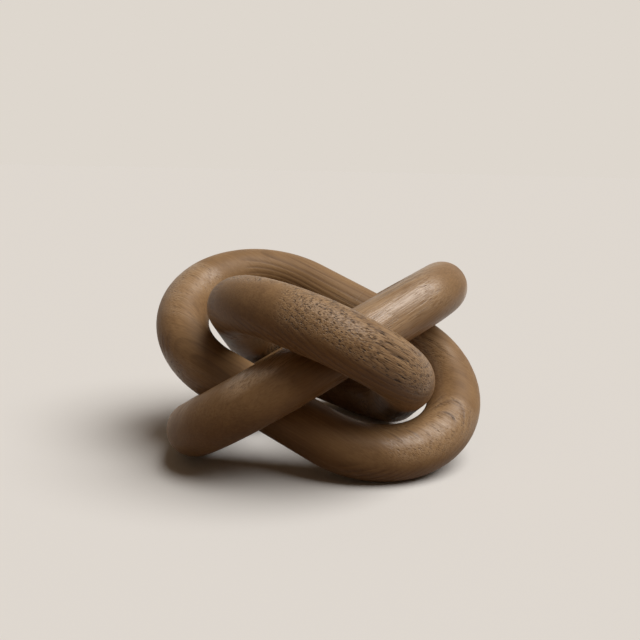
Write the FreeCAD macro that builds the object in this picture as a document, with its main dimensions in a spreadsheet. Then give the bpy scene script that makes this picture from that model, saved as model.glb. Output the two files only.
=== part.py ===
import FreeCAD, Part
import Sketcher
import math
import os

# Three identical closed rings of round hardwood bar, each ring a racetrack, linked so that no
# two of them are linked without the third. At rest they lie folded together: each ring stands
# on its lower end, touches both others, and lifts its other end. A closed ring can't be
# threaded onto two others, so each one is two U shaped halves, glued end to end over a dowel
# in the middle of each straight side.
#
# Millimetres and degrees, +Z up. The origin is on the table, under the middle of the knot.
# The front is seen looking along +Y. Each ring is named for where its raised end is.

# The driving dimensions.
SIZES = {
    # round bar that the rings are made of
    "tube_diameter": 30,
    # room on each side of the ring that passes through a ring's hole, in the opened knot
    "side_play": 19.5,
    # room past each end of that ring, in the opened knot
    "end_play": 4.5,
    # air between two rings where the real ones touch
    "touch_gap": 0.4,
    # how deep the flat under each ring is sanded, so that it stands without rocking
    "rest_flat_depth": 0.3,
    # the dowels, and the room that their sockets leave them
    "dowel_diameter": 10,
    "dowel_length": 40,
    "dowel_chamfer": 1,
    "glue_film": 0.1,
    "socket_end_room": 1,
    # folded knot: which way the raised end of each ring points, from +X towards +Y
    "left_heading": 157,
    "right_heading": 32.5,
    "front_heading": 269.2,
    # folded knot: how steeply the long axis of each ring rises
    "left_incline": 21.9,
    "right_incline": 22,
    "front_incline": 22.4,
    # folded knot: turn of each ring about its own long axis
    "left_roll": -24.6,
    "right_roll": -24.2,
    "front_roll": -22.1,
    # folded knot: how far two of the rings have slid from the middle of the left one
    "right_shift_x": 2.3,
    "right_shift_y": -1.4,
    "front_shift_x": 2,
    "front_shift_y": -1.35,
    # opened knot: which way the raised end of the left ring points
    "open_heading": 152.9,
}

# The rings, with each one's place in the ring of headings of the opened knot.
RINGS = {"left": 0, "right": -1, "front": 1}
PAIRS = (("left", "right"), ("right", "front"), ("front", "left"))

# Opened, the three long axes are at right angles, and stand evenly round the vertical.
OPEN_INCLINE = math.degrees(math.asin(1 / math.sqrt(3)))
OPEN_ROLL = -45
THIRD_OF_TURN = 120
HALF_TURN = FreeCAD.Rotation(FreeCAD.Vector(0, 0, 1), 180)

# The search for the folded pose: its step, and how often it halves what is left.
CLOSING_STEP_SHARE = 0.1
HALVINGS = 24

# Sizes that follow from the driving ones, as numbers and for the features.
bar_radius = SIZES["tube_diameter"] / 2
half_width = SIZES["tube_diameter"] + SIZES["side_play"]
half_straight = SIZES["tube_diameter"] + SIZES["end_play"]
BAR_RADIUS = "sizes.tube_diameter / 2"
HALF_WIDTH = "sizes.tube_diameter + sizes.side_play"
HALF_STRAIGHT = "sizes.tube_diameter + sizes.end_play"
SOCKET_RADIUS = "sizes.dowel_diameter / 2 + sizes.glue_film"
SOCKET_DEPTH = "sizes.dowel_length / 2 + sizes.socket_end_room"

LONG_WAY = FreeCAD.Vector(1, 0, 0)
SHORT_WAY = FreeCAD.Vector(0, 1, 0)
UP = FreeCAD.Vector(0, 0, 1)

os.makedirs("parts", exist_ok=True)
doc = FreeCAD.newDocument("ring_knot")


def fill_sheet():
    """One row for each driving dimension: its name, and its value with the name as alias."""
    sheet = doc.addObject("Spreadsheet::Sheet", "sizes")
    for row, (alias, value) in enumerate(SIZES.items(), start=1):
        sheet.set(f"A{row}", alias)
        sheet.set(f"B{row}", str(value))
        sheet.setAlias(f"B{row}", alias)
    doc.recompute()


def centre_line():
    """The closed racetrack that the middle of the bar follows, flat about its own middle."""
    corners = [
        FreeCAD.Vector(x_side * half_straight, y_side * half_width, 0)
        for x_side, y_side in ((-1, 1), (1, 1), (1, -1), (-1, -1))
    ]
    tip = LONG_WAY * (half_straight + half_width)
    edges = [
        Part.LineSegment(corners[0], corners[1]),
        Part.Arc(corners[1], tip, corners[2]),
        Part.LineSegment(corners[2], corners[3]),
        Part.Arc(corners[3], -tip, corners[0]),
    ]
    return Part.Wire([edge.toShape() for edge in edges])


def reach(turn, direction):
    """How far a turned centre line reaches from its middle in a world direction."""
    along = turn.multVec(LONG_WAY).dot(direction)
    across = turn.multVec(SHORT_WAY).dot(direction)
    return half_straight * abs(along) + half_width * math.hypot(along, across)


def open_turn(name):
    heading = SIZES["open_heading"] + RINGS[name] * THIRD_OF_TURN
    return FreeCAD.Rotation(heading, -OPEN_INCLINE, OPEN_ROLL)


def folded_turn(name):
    return FreeCAD.Rotation(
        SIZES[f"{name}_heading"], -SIZES[f"{name}_incline"], SIZES[f"{name}_roll"]
    )


def ring_place(name, closing):
    """Place of a ring, standing on the table, at a share of its way from open to folded."""
    way = folded_turn(name).multiply(open_turn(name).inverted())
    part_way = FreeCAD.Rotation(way.Axis, math.degrees(way.Angle) * closing)
    turn = part_way.multiply(open_turn(name))
    height = reach(turn, UP) + bar_radius - SIZES["rest_flat_depth"]
    slid_x = SIZES.get(f"{name}_shift_x", 0) * closing
    slid_y = SIZES.get(f"{name}_shift_y", 0) * closing
    return FreeCAD.Placement(FreeCAD.Vector(slid_x, slid_y, height), turn)


def places_at(closing):
    return {name: ring_place(name, closing) for name in RINGS}


def least_air(places):
    """The smallest distance between the surfaces of any two of the three placed rings."""
    lines = {}
    for name, place in places.items():
        lines[name] = centre_line()
        lines[name].Placement = place
    gaps = [lines[one].distToShape(lines[other])[0] for one, other in PAIRS]
    return min(gaps) - SIZES["tube_diameter"]


def touching_share():
    """The largest closing share at which no two rings are nearer than the touching gap."""
    clear = 0
    step = CLOSING_STEP_SHARE
    while least_air(places_at(clear + step)) > SIZES["touch_gap"]:
        clear += step
    for _ in range(HALVINGS):
        step /= 2
        if least_air(places_at(clear + step)) > SIZES["touch_gap"]:
            clear += step
    return clear


def rest_places():
    """The rings folded together until they touch, with the knot's box centred on the origin."""
    places = places_at(touching_share())
    for direction in (LONG_WAY, SHORT_WAY):
        ends = [
            (place.Base.dot(direction), reach(place.Rotation, direction))
            for place in places.values()
        ]
        highest = max(middle + length for middle, length in ends)
        lowest = min(middle - length for middle, length in ends)
        for place in places.values():
            place.Base = place.Base - direction * ((highest + lowest) / 2)
    return places


def new_sketch(body, name, role):
    """An empty sketch on one of the origin planes of its body."""
    sketch = body.newObject("Sketcher::SketchObject", f"{body.Name}_{name}")
    plane = next(item for item in body.Origin.OriginFeatures if item.Role == role)
    sketch.AttachmentSupport = [(plane, "")]
    sketch.MapMode = "FlatFace"
    return sketch


def bind(sketch, constraint, expression):
    index = sketch.addConstraint(constraint)
    sketch.setExpression(f"Constraints[{index}]", expression)


def bar_circle(sketch, side, radius):
    """A circle round the bar's middle, on one straight side of the ring."""
    middle = FreeCAD.Vector(side * half_width, 0, 0)
    circle = sketch.addGeometry(Part.Circle(middle, UP, bar_radius))
    sketch.addConstraint(Sketcher.Constraint("PointOnObject", circle, 3, -1))
    ends = (-1, 1, circle, 3) if side > 0 else (circle, 3, -1, 1)
    bind(sketch, Sketcher.Constraint("DistanceX", *ends, half_width), HALF_WIDTH)
    bind(sketch, Sketcher.Constraint("Radius", circle, bar_radius), radius)


def round_end(body):
    """Half of a ring of bar: the bar's section at the end of one leg, carried to the other."""
    sketch = new_sketch(body, "end_section", "YZ_Plane")
    sketch.setExpression("AttachmentOffset.Base.z", HALF_STRAIGHT)
    bar_circle(sketch, 1, BAR_RADIUS)
    bend = body.newObject("PartDesign::Revolution", f"{body.Name}_bend")
    bend.Profile = sketch
    bend.ReferenceAxis = (sketch, ["V_Axis"])
    bend.Angle = math.degrees(HALF_TURN.Angle)
    bend.Reversed = True


def legs(body):
    """Both straight legs, from the glue joints to the round end."""
    sketch = new_sketch(body, "leg_sections", "YZ_Plane")
    for side in (1, -1):
        bar_circle(sketch, side, BAR_RADIUS)
    runs = body.newObject("PartDesign::Pad", f"{body.Name}_legs")
    runs.Profile = sketch
    runs.setExpression("Length", HALF_STRAIGHT)


def cut(body, sketch, depth, reverse):
    """A pocket, which has to take material away."""
    before = body.Shape.copy()
    pocket = body.newObject("PartDesign::Pocket", f"{sketch.Name}_cut")
    pocket.Profile = sketch
    pocket.Reversed = reverse
    pocket.setExpression("Length", depth)
    doc.recompute()
    if not before.cut(body.Shape).Volume > 0:
        raise RuntimeError(f"{pocket.Name} cuts nothing")


def u_half(name):
    """A U of round bar, with a dowel socket in each of its two ends."""
    body = doc.addObject("PartDesign::Body", name)
    round_end(body)
    legs(body)
    sockets = new_sketch(body, "sockets", "YZ_Plane")
    for side in (1, -1):
        bar_circle(sockets, side, SOCKET_RADIUS)
    doc.recompute()
    cut(body, sockets, SOCKET_DEPTH, True)
    return body


def sand_rest_flat(body, place):
    """The flat under a U that will be at this place, level with the table."""
    along = place.Rotation.multVec(LONG_WAY).z
    across = place.Rotation.multVec(SHORT_WAY).z
    tip_way = half_width / math.hypot(along, across)
    lowest = FreeCAD.Vector(half_straight - tip_way * along, -tip_way * across, 0)
    foot = place.multVec(lowest)
    foot.z = 0
    table = FreeCAD.Placement(foot, FreeCAD.Rotation())
    sketch = new_sketch(body, "rest_flat", "XY_Plane")
    sketch.AttachmentOffset = place.inverse().multiply(table)
    circle = sketch.addGeometry(Part.Circle(FreeCAD.Vector(), UP, bar_radius))
    sketch.addConstraint(Sketcher.Constraint("Coincident", circle, 3, -1, 1))
    bind(sketch, Sketcher.Constraint("Radius", circle, bar_radius), "sizes.tube_diameter")
    cut(body, sketch, "sizes.tube_diameter", False)


def dowel(name, side):
    """A turned pin with chamfered ends, half of it in each U."""
    body = doc.addObject("PartDesign::Body", name)
    section = new_sketch(body, "section", "YZ_Plane")
    bar_circle(section, side, "sizes.dowel_diameter / 2")
    pin = body.newObject("PartDesign::Pad", f"{name}_pin")
    pin.Profile = section
    pin.Midplane = True
    pin.setExpression("Length", "sizes.dowel_length")
    doc.recompute()
    edges = enumerate(pin.Shape.Edges, start=1)
    rims = [f"Edge{number}" for number, edge in edges if edge.Closed]
    chamfer = body.newObject("PartDesign::Chamfer", f"{name}_ends")
    chamfer.Base = (pin, rims)
    chamfer.setExpression("Size", "sizes.dowel_chamfer")
    return body


def ring(name, place):
    """Both halves of one ring, and the dowels in its lower and its upper straight side."""
    turned_about = place.multiply(FreeCAD.Placement(FreeCAD.Vector(), HALF_TURN))
    lower_half = u_half(f"{name}_ring_lower_half")
    sand_rest_flat(lower_half, turned_about)
    lower_half.Placement = turned_about
    others = [
        u_half(f"{name}_ring_upper_half"),
        dowel(f"{name}_ring_lower_dowel", 1),
        dowel(f"{name}_ring_upper_dowel", -1),
    ]
    for piece in others:
        piece.Placement = place
    return [lower_half, *others]


def export(pieces):
    """Every object and shape is sound before the first file is written."""
    doc.recompute()
    for item in doc.Objects:
        if "Invalid" in item.State or "Error" in item.State:
            raise RuntimeError(f"{item.Name} failed")
    for piece in pieces:
        if piece.Shape.isNull() or not piece.Shape.isValid():
            raise RuntimeError(f"{piece.Name} has a bad shape")
    for piece in pieces:
        piece.Shape.exportStep(f"parts/{piece.Label}.step")


fill_sheet()
PIECES = [piece for name, place in rest_places().items() for piece in ring(name, place)]
export(PIECES)
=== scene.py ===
import math
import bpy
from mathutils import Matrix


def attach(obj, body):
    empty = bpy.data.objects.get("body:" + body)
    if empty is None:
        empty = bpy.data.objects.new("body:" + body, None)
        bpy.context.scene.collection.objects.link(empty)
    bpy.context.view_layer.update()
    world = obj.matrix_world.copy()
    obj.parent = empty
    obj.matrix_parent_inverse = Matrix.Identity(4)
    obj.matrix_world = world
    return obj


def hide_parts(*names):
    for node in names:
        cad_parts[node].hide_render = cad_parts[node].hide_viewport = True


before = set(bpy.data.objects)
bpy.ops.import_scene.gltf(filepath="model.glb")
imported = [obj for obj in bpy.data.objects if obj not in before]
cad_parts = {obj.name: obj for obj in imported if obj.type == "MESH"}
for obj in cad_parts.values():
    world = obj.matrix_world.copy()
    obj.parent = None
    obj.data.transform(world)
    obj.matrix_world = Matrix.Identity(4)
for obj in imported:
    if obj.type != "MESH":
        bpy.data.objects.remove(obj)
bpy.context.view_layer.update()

from types import SimpleNamespace

import bpy
import numpy as np
from mathutils import Matrix, Vector

# Three linked rings of round hardwood bar, brushed, stained and waxed. Each U shaped half is one
# closed surface, carried along the bar's line, with the wood's relief pressed into it. The dowels
# inside come from the frame as they are. Metres, +Z up, the front is seen looking along +Y.

MM = 0.001

RINGS = ("left", "right", "front")
# Half a ring's line turned about its middle gives the other half.
HALVES = {"upper": 1, "lower": -1}
# A ring's dowels are in its lower and its upper straight side.
DOWELS = ("lower", "upper")

# The room that the dowels have in their sockets.
GLUE_FILM = 0.1 * MM
SOCKET_END_ROOM = 1 * MM
# How wide and deep the edge is eased where two halves are glued.
JOINT_EASE_WIDTH = 0.2 * MM
JOINT_EASE_DEPTH = 0.07 * MM
# Edges sharper than this stay sharp: the rims of the joints and of the sockets.
SHARP_EDGE = math.radians(70)

# Steps of a half's surface, round the bar and along it.
ROUND_STEPS = 222
LONG_STEPS = 438


def points_of(node):
    """The places of a frame node's corners, each once, to a micrometre."""
    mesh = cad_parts[node].data
    points = np.empty(3 * len(mesh.vertices), np.float32)
    mesh.vertices.foreach_get("co", points)
    return np.unique(points.reshape(-1, 3).round(6), axis=0).astype(float)


def read_ring(name):
    """Where a ring lies and how large it is.

    Its two dowels lie along its long way, in the middle of its straight sides. So their shared
    middle is the ring's middle, their own axis is its long way, and one from the other its
    short way. The bar's size is what an upper half reaches past the line through the dowels.
    """
    lower = points_of(f"{name}_ring_lower_dowel")
    upper = points_of(f"{name}_ring_upper_dowel")
    half = points_of(f"{name}_ring_upper_half")
    middle = (lower.mean(0) + upper.mean(0)) / 2
    short = lower.mean(0) - upper.mean(0)
    half_width = np.linalg.norm(short) / 2
    short /= np.linalg.norm(short)
    pin = lower - lower.mean(0)
    long = np.linalg.svd(pin)[2][0]
    long *= np.sign((half.mean(0) - middle) @ long)
    axes = np.array([long, short, np.cross(long, short)])
    reach = ((half - middle) @ axes.T).max(0)
    bar = reach[1] - half_width
    pin = np.abs(pin @ axes.T)
    return SimpleNamespace(
        middle=middle,
        axes=axes,
        half_width=half_width,
        half_straight=reach[0] - half_width - bar,
        bar=bar,
        socket=pin[:, 1].max() + GLUE_FILM,
        socket_depth=pin[:, 0].max() + SOCKET_END_ROOM,
    )


def board(turn, dip, **timber):
    """One ring's piece of timber, with the ways of its grain, its side and its face.

    The grain starts along the ring's long way, is turned about the ring's normal, and then
    dips out of the ring's plane, in degrees.
    pith is where the tree's middle lay beside the ring, along the board's side and face, and
    layer one year's growth, in millimetres.
    early, fibre and vessel are how many millimetres brushing dug into early wood, between fibres
    and into vessels.
    open_share is how many of the vessels are open, and burnish how far the wax is rubbed up in
    the open patches, and so also how strongly they are painted pale as a highlight.
    seed picks the grain, worn_seed the patches that are worn and open_seed those that are open,
    which places the painted highlights too.
    """
    turned = Matrix.Rotation(math.radians(turn), 3, "Z")
    dipped = Matrix.Rotation(math.radians(-dip), 3, "Y")
    return SimpleNamespace(axes=np.array((turned @ dipped).transposed()), **timber)


BOARDS = {
    "left": board(
        turn=0, dip=0, pith=(-18, -62), layer=2.7, early=0.26, fibre=0.12, vessel=0.14,
        open_share=0.35, burnish=0.6, seed=3, worn_seed=1756, open_seed=2756,
    ),
    "right": board(
        turn=0, dip=3, pith=(30, 70), layer=3.4, early=0.12, fibre=0.08, vessel=0.1,
        open_share=0.25, burnish=1.0, seed=11, worn_seed=2648, open_seed=3626,
    ),
    "front": board(
        turn=128, dip=2, pith=(10, -140), layer=3.1, early=0.24, fibre=0.15, vessel=0.3,
        open_share=1.0, burnish=0.35, seed=23, worn_seed=291, open_seed=11217,
    ),
}

# The weights of a cell's numbers and of the seed in the sine that chance is made of, and its size.
CHANCE_WEIGHTS = np.array([127.1, 311.7, 74.7])
CHANCE_SEED_WEIGHT = 53.3
CHANCE_SIZE = 43758.5453


def chance(cells, seed):
    """A fixed number from 0 to 1 for each cell of whole numbers: the broken part of a large sine."""
    turn = cells @ CHANCE_WEIGHTS[: cells.shape[1]] + seed * CHANCE_SEED_WEIGHT
    return np.modf(np.abs(np.sin(turn)) * CHANCE_SIZE)[0]


def drift(points, seed):
    """Smooth noise from -1 to 1: the chances of a unit cell's eight corners, eased together."""
    cells = np.floor(points)
    part = points - cells
    eased = part * part * (3 - 2 * part)
    total = np.zeros(len(points))
    for corner in np.ndindex(2, 2, 2):
        weight = np.where(corner, eased, 1 - eased).prod(1)
        total += weight * chance(cells + corner, seed)
    return 2 * total - 1


def ease(value, low, high):
    """0 up to low, 1 from high on, and a smooth S between them."""
    share = np.clip((value - low) / (high - low), 0, 1)
    return share * share * (3 - 2 * share)


# Here and below, a noise's size is that of its cells along the board's grain, side and face, in
# millimetres. A growth layer wanders by this many layers, on a slow noise and a weaker quick one.
LAYER_DRIFT = 1.1
SLOW_DRIFT = (140, 24, 24)
QUICK_DRIFT = (60, 10, 10)
QUICK_DRIFT_SHARE = 0.4
# The part of a layer over which its early wood sets in.
EARLY_START = 0.2


def layers_at(place, timber):
    """Growth layers: the distance from the tree's middle over a layer's width, drifting slowly."""
    across = np.hypot(place[:, 1] - timber.pith[0], place[:, 2] - timber.pith[1])
    slow = drift(place / SLOW_DRIFT, timber.seed)
    slow += QUICK_DRIFT_SHARE * drift(place / QUICK_DRIFT, timber.seed + 1)
    return across / timber.layer + LAYER_DRIFT * slow


def early_share(layer):
    """How much soft early wood a place has: what is left of its layer, squared, after a quick start."""
    part = layer - np.floor(layer)
    return (1 - part) ** 2 * ease(part, 0, EARLY_START)


# Vessels are the long pores that open oak shows. The widest are hollows in the mesh. Real ones are
# up to about 0.4 mm wide, which is finer than a pixel of the picture, so these are drawn coarser.
# Each grid of them is (spacing across the grain, length of a cell along it), in millimetres.
VESSEL_RADIUS = 0.36
VESSEL_GRIDS = ((1.9, 4.0), (2.6, 7.0))
# The shares of half its cell's length, from its middle, between which a vessel fades out.
VESSEL_FADE = (0.5, 0.9)
# The share of cells that hold a vessel in late wood, and how much more it is in early wood, on a
# board whose vessels are all open.
LATE_VESSELS = 0.12
MORE_EARLY_VESSELS = 0.4
# The first seed of the first grid, counted from the board's, and how much later the next grid's is.
VESSEL_SEED = 5
NEXT_GRID_SEED = 10


def vessels_at(place, early, timber):
    """How deep wide open vessels are, from 0 to 1.

    A vessel is a straight hollow along the grain. Each cell of a grid holds one, off its middle
    by chance, and every row of cells starts at a place of its own. The grids lie over each
    other. The hollow is round across the grain and fades at its ends.
    """
    depth = np.zeros(len(place))
    for number, (spacing, length) in enumerate(VESSEL_GRIDS):
        seed = timber.seed + NEXT_GRID_SEED * number + VESSEL_SEED
        rows = np.floor(place[:, 1:] / spacing)
        along = place[:, 0] / length + chance(rows, seed)
        cells = np.column_stack([rows, np.floor(along)])
        off = np.column_stack([chance(cells, seed + 1), chance(cells, seed + 2)])
        room = 0.5 - VESSEL_RADIUS / spacing
        middle = (rows + 0.5 + (2 * off - 1) * room) * spacing
        across = np.linalg.norm(place[:, 1:] - middle, axis=1) / VESSEL_RADIUS
        ends = np.abs(2 * (along - np.floor(along)) - 1)
        wanted = timber.open_share * (LATE_VESSELS + MORE_EARLY_VESSELS * early)
        there = chance(cells, seed + 3) < wanted
        hollow = np.clip(1 - across * across, 0, 1) * (1 - ease(ends, *VESSEL_FADE)) * there
        depth = np.maximum(depth, hollow)
    return depth


# The patches that brushing dug into, those where the pores stand open, and the two values of their
# noise between which a patch sets in.
WORN_PATCH = (40, 14, 14)
OPEN_PATCH = (45, 18, 18)
PATCH_EDGE = (-0.1, 0.45)
# The furrows between fibres: a coarse noise, and a fine one that is weaker.
COARSE_FIBRES = (26, 1.7, 1.7)
FINE_FIBRES = (14, 1.0, 1.0)
FINE_FIBRE_SHARE = 0.5
# How deep early wood and fibres are dug outside the patches, in shares of what they are inside.
PLAIN_EARLY_DEPTH = 0.08
PLAIN_FIBRE_DEPTH = 0.35


def patches_at(place, size, seed):
    """0 in the plain parts and 1 in the patches, with a soft edge."""
    return ease(drift(place / size, seed), *PATCH_EDGE)


def wood_relief(place, timber):
    """What brushing took out of the wood, in millimetres, with the values that colour it.

    In worn patches brushing dug out the early wood of each layer. It frayed the fibres into
    shallow furrows everywhere, and opened the wide vessels in patches of their own.
    """
    layer = layers_at(place, timber)
    early = early_share(layer)
    worn = patches_at(place, WORN_PATCH, timber.worn_seed)
    opened = patches_at(place, OPEN_PATCH, timber.open_seed)
    fibre = drift(place / COARSE_FIBRES, timber.seed + 3)
    fibre += FINE_FIBRE_SHARE * drift(place / FINE_FIBRES, timber.seed + 4)
    # Both noises together reach 1 plus the fine one's share, up and down. It is brought to 0 to 1.
    fibre = 0.5 + 0.5 * fibre / (1 + FINE_FIBRE_SHARE)
    vessel = vessels_at(place, early, timber) * opened
    brushed = np.maximum(worn, opened)
    depth = timber.early * early * (PLAIN_EARLY_DEPTH + (1 - PLAIN_EARLY_DEPTH) * worn)
    depth += timber.fibre * fibre * (PLAIN_FIBRE_DEPTH + (1 - PLAIN_FIBRE_DEPTH) * brushed)
    depth += timber.vessel * vessel
    return depth, {"layer": layer, "worn": worn, "opened": opened, "vessel": vessel}


def u_line(ring, run):
    """The bar's middle line in its ring's plane, and the way out of the ring, at runs along it.

    It goes along one leg, half round a circle and back along the other leg. The angle of the
    way out stays at a quarter turn along the legs, and turns evenly in the bend.
    """
    bend = math.pi * ring.half_width
    angle = math.pi / 2 - np.clip((run - ring.half_straight) / ring.half_width, 0, math.pi)
    out = np.column_stack([np.cos(angle), np.sin(angle), np.zeros(len(run))])
    along = np.clip(run, 0, ring.half_straight)
    along -= np.clip(run - ring.half_straight - bend, 0, ring.half_straight)
    middle = ring.half_width * out
    middle[:, 0] += along
    return middle, out


def bar_runs(ring):
    """Where the rows of the bar's skin lie along it: even, with one more beside each joint."""
    length = 2 * ring.half_straight + math.pi * ring.half_width
    even = np.linspace(JOINT_EASE_WIDTH, length - JOINT_EASE_WIDTH, LONG_STEPS)
    return np.concatenate([[0], even, [length]])


def half_points(ring, timber, side):
    """The surface of one U, in the world, and the values that colour it, row by row.

    The bar's skin is its middle line plus the bar's radius, less the relief, in every direction
    across the line. At each end the rows go on over the flat joint, down the wall of the dowel's
    socket and in to the middle of its bottom.
    """
    runs = bar_runs(ring)
    middle, out = u_line(ring, runs)
    turn = np.linspace(0, 2 * math.pi, ROUND_STEPS, endpoint=False)
    up = np.array([0, 0, 1])
    ways = out[:, None] * np.cos(turn)[:, None] + up * np.sin(turn)[:, None]
    skin = middle[:, None] + ring.bar * ways
    flip = np.array([side, side, 1])
    place = (skin * flip).reshape(-1, 3) @ timber.axes.T / MM
    depth, shown = wood_relief(place, timber)
    depth = depth.reshape(len(runs), ROUND_STEPS)
    depth[[0, -1]] += JOINT_EASE_DEPTH / MM
    skin -= depth[:, :, None] * MM * ways
    sockets = []
    for end in (0, -1):
        bottom = middle[end] + ring.socket_depth * np.array([1, 0, 0])
        rim = ring.socket * ways[end]
        sockets.append((bottom, bottom + rim, middle[end] + rim))
    (first_bottom, *first_rims), (last_bottom, *last_rims) = sockets
    rows = np.concatenate([first_rims, skin, last_rims[::-1]])
    points = np.concatenate([[first_bottom], rows.reshape(-1, 3), [last_bottom]])
    world = (points * flip) @ ring.axes + ring.middle
    # The flat that the ring rests on is sanded level with the floor.
    world[:, 2] = np.maximum(world[:, 2], 0)
    socket_points = 1 + len(first_rims) * ROUND_STEPS
    return world, {label: np.pad(values, socket_points) for label, values in shown.items()}


def half_faces(row_count):
    """Four sided faces between the rows, facing out, and a fan of triangles at each end."""
    rows = np.arange(row_count - 1)[:, None] * ROUND_STEPS
    here = np.arange(ROUND_STEPS)
    after = (here + 1) % ROUND_STEPS
    quads = 1 + np.stack(
        [rows + here, rows + after, rows + ROUND_STEPS + after, rows + ROUND_STEPS + here], -1
    )
    last = 1 + row_count * ROUND_STEPS
    last_row = last - ROUND_STEPS
    first_fan = np.stack([np.zeros_like(here), 1 + after, 1 + here], -1)
    last_fan = np.stack([np.full_like(here, last), last_row + here, last_row + after], -1)
    return [*quads.reshape(-1, 4).tolist(), *first_fan.tolist(), *last_fan.tolist()]


def wooden_half(name, ring, timber, half, material):
    """One U of a ring, which stands for the frame's node of the same name."""
    points, shown = half_points(ring, timber, HALVES[half])
    mesh = bpy.data.meshes.new(f"{name}_ring_{half}_half_wood")
    mesh.from_pydata(points, [], half_faces((len(points) - 2) // ROUND_STEPS))
    for label, values in shown.items():
        attribute = mesh.attributes.new(label, "FLOAT", "POINT")
        attribute.data.foreach_set("value", values.astype(np.float32))
    mesh.shade_smooth()
    mesh.set_sharp_from_angle(angle=SHARP_EDGE)
    mesh.materials.append(material)
    piece = bpy.data.objects.new(mesh.name, mesh)
    bpy.context.collection.objects.link(piece)
    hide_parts(f"{name}_ring_{half}_half")
    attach(piece, f"{name}_ring")


def colour(text):
    """An sRGB colour written as six hex digits, as linear red, green, blue and full alpha."""
    shares = [int(text[start : start + 2], 16) / 255 for start in (0, 2, 4)]
    linear = [s / 12.92 if s <= 0.04045 else ((s + 0.055) / 1.055) ** 2.4 for s in shares]
    return (*linear, 1)


def put(tree, kind, inputs=(), gives=0, **settings):
    """Adds a node with its settings, and gives one of its outputs.

    The inputs are in the node's order, or in a dict by name or number. Each is a value, or the
    output that it is linked to.
    """
    made = tree.nodes.new(f"ShaderNode{kind}")
    for name, value in settings.items():
        setattr(made, name, value)
    by_socket = inputs if isinstance(inputs, dict) else dict(enumerate(inputs))
    for socket, value in by_socket.items():
        if isinstance(value, bpy.types.NodeSocket):
            tree.links.new(value, made.inputs[socket])
        else:
            made.inputs[socket].default_value = value
    return made.outputs[gives]


def new_material(name, **constants):
    """A material with a shader whose uniform values are set on its own sockets."""
    material = bpy.data.materials.new(name)
    material.use_nodes = True
    tree = material.node_tree
    shader = tree.nodes["Principled BSDF"]
    for socket, value in constants.items():
        shader.inputs[socket.replace("_", " ")].default_value = value
    return material, tree, shader


# Wood and wax bend light alike. The wood is dull, and shines where wax is rubbed up on it.
WOOD_IOR = 1.5
WOOD_SHINE = 0.2
WAX_IOR = 1.5
WAX_ROUGHNESS = 0.32

# Patterns drawn out along the grain, noises and dots of which each cell holds one: the kind of
# node, the length and width of the cells in millimetres, and how many finer noises lie on them. The
# dots are fine vessels, drawn about as coarse as those in the mesh, for the same reason.
GRAIN_PATTERNS = {
    "streak_noise": ("TexNoise", 30, 1.1, 3.0),
    "band_noise": ("TexNoise", 90, 6, 2.0),
    "cloud_noise": ("TexNoise", 45, 30, 2.0),
    "fibre_noise": ("TexNoise", 14, 0.6, 2.0),
    "line_noise": ("TexNoise", 40, 0.8, 1.0),
    "break_noise": ("TexNoise", 10, 2.5, 0.0),
    "long_dots": ("TexVoronoi", 50, 1.05, 0.0),
    "short_dots": ("TexVoronoi", 4.5, 1.3, 0.0),
}
# How strong each finer noise is against the one that it lies on.
FINER_NOISE_SHARE = 0.6

# What follows from one pattern or from one of the mesh's values: which one, two values of it, and
# what it gives at these two. In between it goes evenly, and outside it stays.
GRAIN_SHARES = {
    "early_start": ("part", 0.0, 0.1, 0.0, 1.0),
    "early_fade": ("part", 0.6, 0.12, 0.0, 1.0),
    "furrow_wear": ("worn", 0.0, 1.0, 0.1, 1.0),
    "long_vessels": ("long_dots", 0.28, 0.16, 0.0, 1.0),
    "short_vessels": ("short_dots", 0.3, 0.2, 0.0, 1.0),
    "streaks": ("streak_noise", 0.3, 0.7, 0.0, 1.0),
    "bands": ("band_noise", 0.35, 0.7, 0.0, 1.0),
    "clouds": ("cloud_noise", 0.4, 0.75, 0.0, 1.0),
    "line_ridges": ("line_noise", 0.53, 0.62, 0.0, 1.0),
    "line_hollows": ("line_noise", 0.49, 0.4, 0.0, 1.0),
    "rubbed_fibres": ("fibre_noise", 0.38, 0.56, 0.3, 1.0),
    "roughness": ("fibre_noise", 0.3, 0.7, 0.42, 0.56),
    "fibre_relief": ("opened", 0.0, 1.0, 0.5, 1.2),
}

# How much of the rows of lines and vessels late wood has, and what is left of them where they are
# broken, on a board whose vessels are all open. The noise breaks them below the first value.
LATE_ROWS = 0.5
BROKEN_ROWS = 0.6
BREAK_EDGE = (0.4, 0.55)
# How dark fine vessels are outside the rows.
LONE_VESSELS = 0.08
# How dark the mesh's vessels are, how much darker where all are open, and where they set in.
WIDE_VESSELS = 0.3
MORE_WIDE_VESSELS = 0.5
WIDE_VESSEL_EDGE = (0.1, 0.6)
# How far wax is rubbed up, and the wood painted pale as a highlight, between the bands, as a
# share of that on them, and where a band sets in.
PLAIN_RUBBING = 0.4
RUBBED_BAND_EDGE = (0.3, 0.6)

# The stain, and the tones that cover it one after another: whose tone it is, how strongly it
# covers, how much more where all vessels are open, and the colour.
STAIN = "7a5b3b"
STAIN_TONES = (
    ("streaks", 1.0, 0.0, "94734e"),
    ("bands", 0.4, 0.0, "6c5034"),
    ("clouds", 0.5, 0.0, "a6835a"),
    # The rubbed wax's pale tone is a painted highlight: broken pale flecks that lighten the wood where
    # the wax shines.
    ("rubbed", 0.8, 0.0, "b8966f"),
    ("furrows", 0.5, 0.0, "523823"),
    ("ridges", 0.0, 0.6, "b8966f"),
    ("lines", 0.15, 0.6, "3d2816"),
    ("vessels", 0.9, 0.0, "24150b"),
)

# What rubbed wax takes off the wood's roughness, and how much of the wax there is in vessels.
RUBBED_SMOOTHER = 0.18
VESSEL_WAX = 0.2
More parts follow.
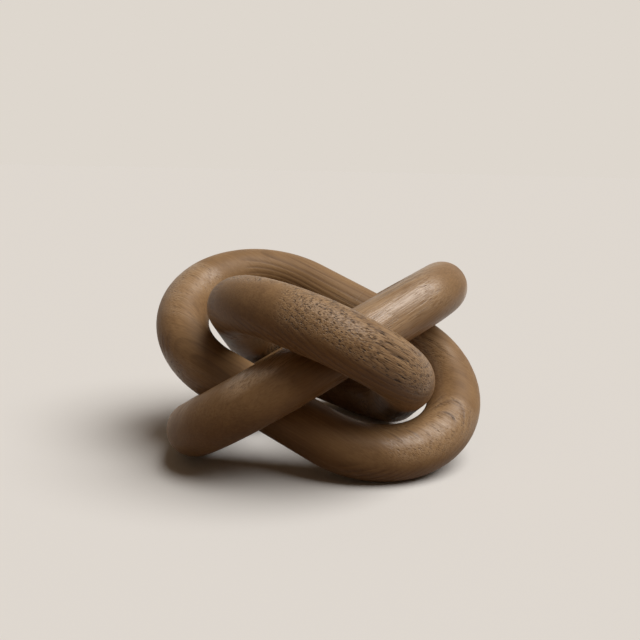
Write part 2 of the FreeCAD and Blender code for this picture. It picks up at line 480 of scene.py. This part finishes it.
# The height that the finest relief is measured in. Against it, how deep lines are, how much deeper
# where all vessels are open, and how deep vessels are.
FINE_RELIEF = 0.13 * MM
LINE_DEPTH = 0.2
MORE_LINE_DEPTH = 0.8
VESSEL_DEPTH = 1.8


def board_place(tree, ring, timber):
    """The place on a ring's board, in millimetres: from the ring's middle, in the board's ways."""
    axes = timber.axes @ ring.axes
    return put(tree, "Mapping", {
        "Vector": put(tree, "TexCoord", gives="Object"),
        "Location": tuple(-axes @ ring.middle / MM),
        "Rotation": Matrix(axes).to_euler("XYZ"),
        "Scale": (1 / MM, 1 / MM, 1 / MM),
    })


def grain_values(tree, place):
    """The grain's patterns, the mesh's values and what follows from one of them alone, by name.

    A pattern is taken at the place over its cell's sizes. The part of a layer is the broken
    part of the layer's number.
    """
    values = {}
    for label, (kind, along, across, detail) in GRAIN_PATTERNS.items():
        cells = put(tree, "Mapping", {"Vector": place, "Scale": (1 / along, 1 / across, 1 / across)})
        inputs = {"Vector": cells, "Scale": 1.0, "Detail": detail, "Roughness": FINER_NOISE_SHARE}
        values[label] = put(tree, kind, inputs)
    for label in ("layer", "worn", "opened", "vessel"):
        values[label] = put(tree, "Attribute", gives="Fac", attribute_name=label)
    values["part"] = put(tree, "Math", (values["layer"],), operation="FRACT")
    for label, (source, *ends) in GRAIN_SHARES.items():
        values[label] = put(tree, "MapRange", (values[source], *ends))
    return SimpleNamespace(**values)


def grain_marks(tree, place, timber):
    """The grain's values, with the marks that stain, wax and relief follow.

    Early wood starts with a sharp edge and fades into the late wood. Furrows are early wood
    times wear. Rows are the open patches times a share that early wood raises, and are broken
    along the grain. Lines and ridges are their patterns times the rows, and fine vessels are
    theirs times a share that rows raise. Vessels are the fine or the wide ones, whichever are
    darker. Where wax is rubbed up is the open patches times the shares of bands and fibres; it
    carries the wax's coat and also a pale painted highlight.
    """
    opening = timber.open_share
    grain = grain_values(tree, place)
    early = put(tree, "Math", (grain.early_start, grain.early_fade), operation="MULTIPLY")
    grain.furrows = put(tree, "Math", (early, grain.furrow_wear), operation="MULTIPLY")
    crowding = put(tree, "MapRange", {"Value": early, "To Min": LATE_ROWS})
    rows = put(tree, "Math", (grain.opened, crowding), operation="MULTIPLY")
    unbroken = put(tree, "MapRange", (grain.break_noise, *BREAK_EDGE, BROKEN_ROWS * opening))
    rows = put(tree, "Math", (rows, unbroken), operation="MULTIPLY")
    grain.ridges = put(tree, "Math", (grain.line_ridges, rows), operation="MULTIPLY")
    grain.lines = put(tree, "Math", (grain.line_hollows, rows), operation="MULTIPLY")
    fine = put(tree, "Math", (grain.long_vessels, grain.short_vessels), operation="MAXIMUM")
    held = put(tree, "MapRange", {"Value": rows, "To Min": LONE_VESSELS, "To Max": opening})
    fine = put(tree, "Math", (fine, held), operation="MULTIPLY")
    darkest = WIDE_VESSELS + MORE_WIDE_VESSELS * opening
    wide = put(tree, "MapRange", (grain.vessel, *WIDE_VESSEL_EDGE, 0.0, darkest))
    grain.vessels = put(tree, "Math", (fine, wide), operation="MAXIMUM")
    # Where wax is rubbed up: it gives the coat and less roughness, and a pale painted highlight in the
    # colour.
    rubbing = (PLAIN_RUBBING * timber.burnish, timber.burnish)
    banded = put(tree, "MapRange", (grain.band_noise, *RUBBED_BAND_EDGE, *rubbing))
    rubbed = put(tree, "Math", (grain.opened, banded), operation="MULTIPLY")
    grain.rubbed = put(tree, "Math", (rubbed, grain.rubbed_fibres), operation="MULTIPLY")
    return grain


def stain_tone(tree, grain, timber):
    """The wood's colour: each mark's tone covers those before it, by the mark times its strength."""
    tone = colour(STAIN)
    for mark, strength, more, text in STAIN_TONES:
        strength += more * timber.open_share
        cover = put(tree, "Math", (vars(grain)[mark], strength), operation="MULTIPLY")
        tone = put(tree, "Mix", {0: cover, 6: tone, 7: colour(text)}, gives=2, data_type="RGBA")
    return tone


def fine_relief(tree, grain, timber):
    """The way the surface faces, with relief too fine for the mesh.

    Its height is the fibres' noise, stronger where pores are open, less what lines and vessels
    are deep.
    """
    fibres = put(tree, "Math", (grain.fibre_noise, grain.fibre_relief), operation="MULTIPLY")
    line_depth = LINE_DEPTH + MORE_LINE_DEPTH * timber.open_share
    lines = put(tree, "Math", (grain.lines, line_depth), operation="MULTIPLY")
    vessels = put(tree, "Math", (grain.vessels, VESSEL_DEPTH), operation="MULTIPLY")
    dug = put(tree, "Math", (lines, vessels), operation="ADD")
    height = put(tree, "Math", (fibres, dug), operation="SUBTRACT")
    return put(tree, "Bump", {"Height": height, "Strength": 1.0, "Distance": FINE_RELIEF})


def stained_wood(name, ring, timber):
    """Open-pored hardwood, wire brushed, stained brown and waxed.

    To the eye: stain sits dark in the hollows and vessels and thin on the ridges, the grain runs
    in fine streaks, and the wax gives a broken satin shine along the fibres, from its coat and
    from pale flecks of painted highlight in the colour.
    """
    material, tree, shader = new_material(
        name, IOR=WOOD_IOR, Specular_IOR_Level=WOOD_SHINE, Coat_IOR=WAX_IOR,
        Coat_Roughness=WAX_ROUGHNESS,
    )
    grain = grain_marks(tree, board_place(tree, ring, timber), timber)
    smoother = put(tree, "Math", (grain.rubbed, RUBBED_SMOOTHER), operation="MULTIPLY")
    stays = put(tree, "MapRange", {"Value": grain.vessels, "To Min": 1.0, "To Max": VESSEL_WAX})
    facing = fine_relief(tree, grain, timber)
    looks = {
        "Base Color": stain_tone(tree, grain, timber),
        "Roughness": put(tree, "Math", (grain.roughness, smoother), operation="SUBTRACT"),
        "Coat Weight": put(tree, "Math", (grain.rubbed, stays), operation="MULTIPLY"),
        "Normal": facing,
        "Coat Normal": facing,
    }
    for socket, output in looks.items():
        tree.links.new(output, shader.inputs[socket])
    return material


BEECH = "dcc29c"
BEECH_FLECK = "c4a67c"
BEECH_ROUGHNESS = 0.6
# Flecks in a metre, so each is about a millimetre, and how many finer noises lie on them.
FLECK_SCALE = 900.0
FLECK_DETAIL = 3.0


def turned_beech():
    """Bare turned beech, as dowels are: pale and even, with faint small flecks."""
    material, tree, shader = new_material("turned_beech", Roughness=BEECH_ROUGHNESS, IOR=WOOD_IOR)
    place = put(tree, "TexCoord", gives="Object")
    flecks = put(tree, "TexNoise", {"Vector": place, "Scale": FLECK_SCALE, "Detail": FLECK_DETAIL})
    tones = {0: flecks, 6: colour(BEECH), 7: colour(BEECH_FLECK)}
    tone = put(tree, "Mix", tones, gives=2, data_type="RGBA")
    tree.links.new(tone, shader.inputs["Base Color"])
    return material


def build_rings():
    """Each ring's two halves, cut from one board, and beech for the frame's dowels in it."""
    beech = turned_beech()
    for name in RINGS:
        ring = read_ring(name)
        timber = BOARDS[name]
        wood = stained_wood(f"stained_wood_{name}_board", ring, timber)
        for half in HALVES:
            wooden_half(name, ring, timber, half, wood)
        for side in DOWELS:
            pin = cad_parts[f"{name}_ring_{side}_dowel"]
            for place in pin.material_slots:
                place.material = beech


# The stage: a pale floor, and one wide soft light high up at the right, a little in front. Light
# levels are in shares of the level at which a white matt surface that faces the light is white.
FLOOR_SIZE = 40.0
FLOOR_COLOUR = "e6e2dc"
# What the camera and reflections see behind the floor: the colour that the lit floor has there.
BACKDROP_COLOUR = "ded7ce"
# To the light that they throw at the knot, floor and surroundings are a darker brown, so that the
# shade under the rings stays deep and warm.
FLOOR_BOUNCE_COLOUR = "614729"
SURROUNDINGS_COLOUR = "5c4e40"
# The lamp's level, the way to it from the knot, and how wide it looks, in degrees.
KEY_LEVEL = 0.95
KEY_WAY = Vector((0.47, -0.17, 0.866)).normalized()
KEY_SPREAD = 50


def seen_or_thrown(tree, thrown, seen):
    """One colour for the light thrown at other things, and one for the eye and reflections."""
    look = 0.0
    for kind in ("Camera", "Glossy", "Transmission"):
        ray = put(tree, "LightPath", gives=f"Is {kind} Ray")
        look = put(tree, "Math", (look, ray), operation="MAXIMUM")
    tones = {0: look, 6: colour(thrown), 7: colour(seen)}
    return put(tree, "Mix", tones, gives=2, data_type="RGBA")


def pale_floor():
    """A matt floor under the knot."""
    half = FLOOR_SIZE / 2
    mesh = bpy.data.meshes.new("floor")
    corners = [(-half, -half, 0), (half, -half, 0), (half, half, 0), (-half, half, 0)]
    mesh.from_pydata(corners, [], [(0, 1, 2, 3)])
    material, tree, shader = new_material("matt_pale_floor", Roughness=1.0, Specular_IOR_Level=0.0)
    tone = seen_or_thrown(tree, FLOOR_BOUNCE_COLOUR, FLOOR_COLOUR)
    tree.links.new(tone, shader.inputs["Base Color"])
    mesh.materials.append(material)
    floor = bpy.data.objects.new("floor", mesh)
    bpy.context.collection.objects.link(floor)


def soft_light():
    """A wide soft lamp, and a faint even light from all round."""
    lamp = bpy.data.lights.new("key", "SUN")
    lamp.angle = math.radians(KEY_SPREAD)
    lamp.energy = KEY_LEVEL * math.pi
    key = bpy.data.objects.new("key", lamp)
    key.rotation_euler = (-KEY_WAY).to_track_quat("-Z", "Y").to_euler()
    bpy.context.collection.objects.link(key)
    world = bpy.data.worlds.new("studio")
    world.use_nodes = True
    tree = world.node_tree
    tone = seen_or_thrown(tree, SURROUNDINGS_COLOUR, BACKDROP_COLOUR)
    tree.links.new(tone, tree.nodes["Background"].inputs["Color"])
    bpy.context.scene.world = world


# The camera, as the photograph was taken: from the front, a little above. Its place in metres, how
# far it looks down and is rolled in degrees, its sensor and lens in millimetres, and how far the
# picture is shifted, in shares of its width.
CAMERA_PLACE = (0.0, -0.4466, 0.1610)
CAMERA_DOWN = 13.4
CAMERA_ROLL = 1.29
SENSOR = 36.0
LENS = 44.8
SHIFT = (0.0045, 0.0539)


def camera():
    """The photograph's camera: level towards the knot, then tilted down and rolled."""
    data = bpy.data.cameras.new("camera")
    data.sensor_width = SENSOR
    data.lens = LENS
    data.shift_x, data.shift_y = SHIFT
    eye = bpy.data.objects.new("camera", data)
    tilt = Matrix.Rotation(math.radians(90 - CAMERA_DOWN), 4, "X")
    roll = Matrix.Rotation(math.radians(CAMERA_ROLL), 4, "Z")
    eye.matrix_world = Matrix.Translation(CAMERA_PLACE) @ tilt @ roll
    bpy.context.collection.objects.link(eye)
    bpy.context.scene.camera = eye


build_rings()
pale_floor()
soft_light()
camera()
bpy.context.scene.view_settings.view_transform = "Standard"
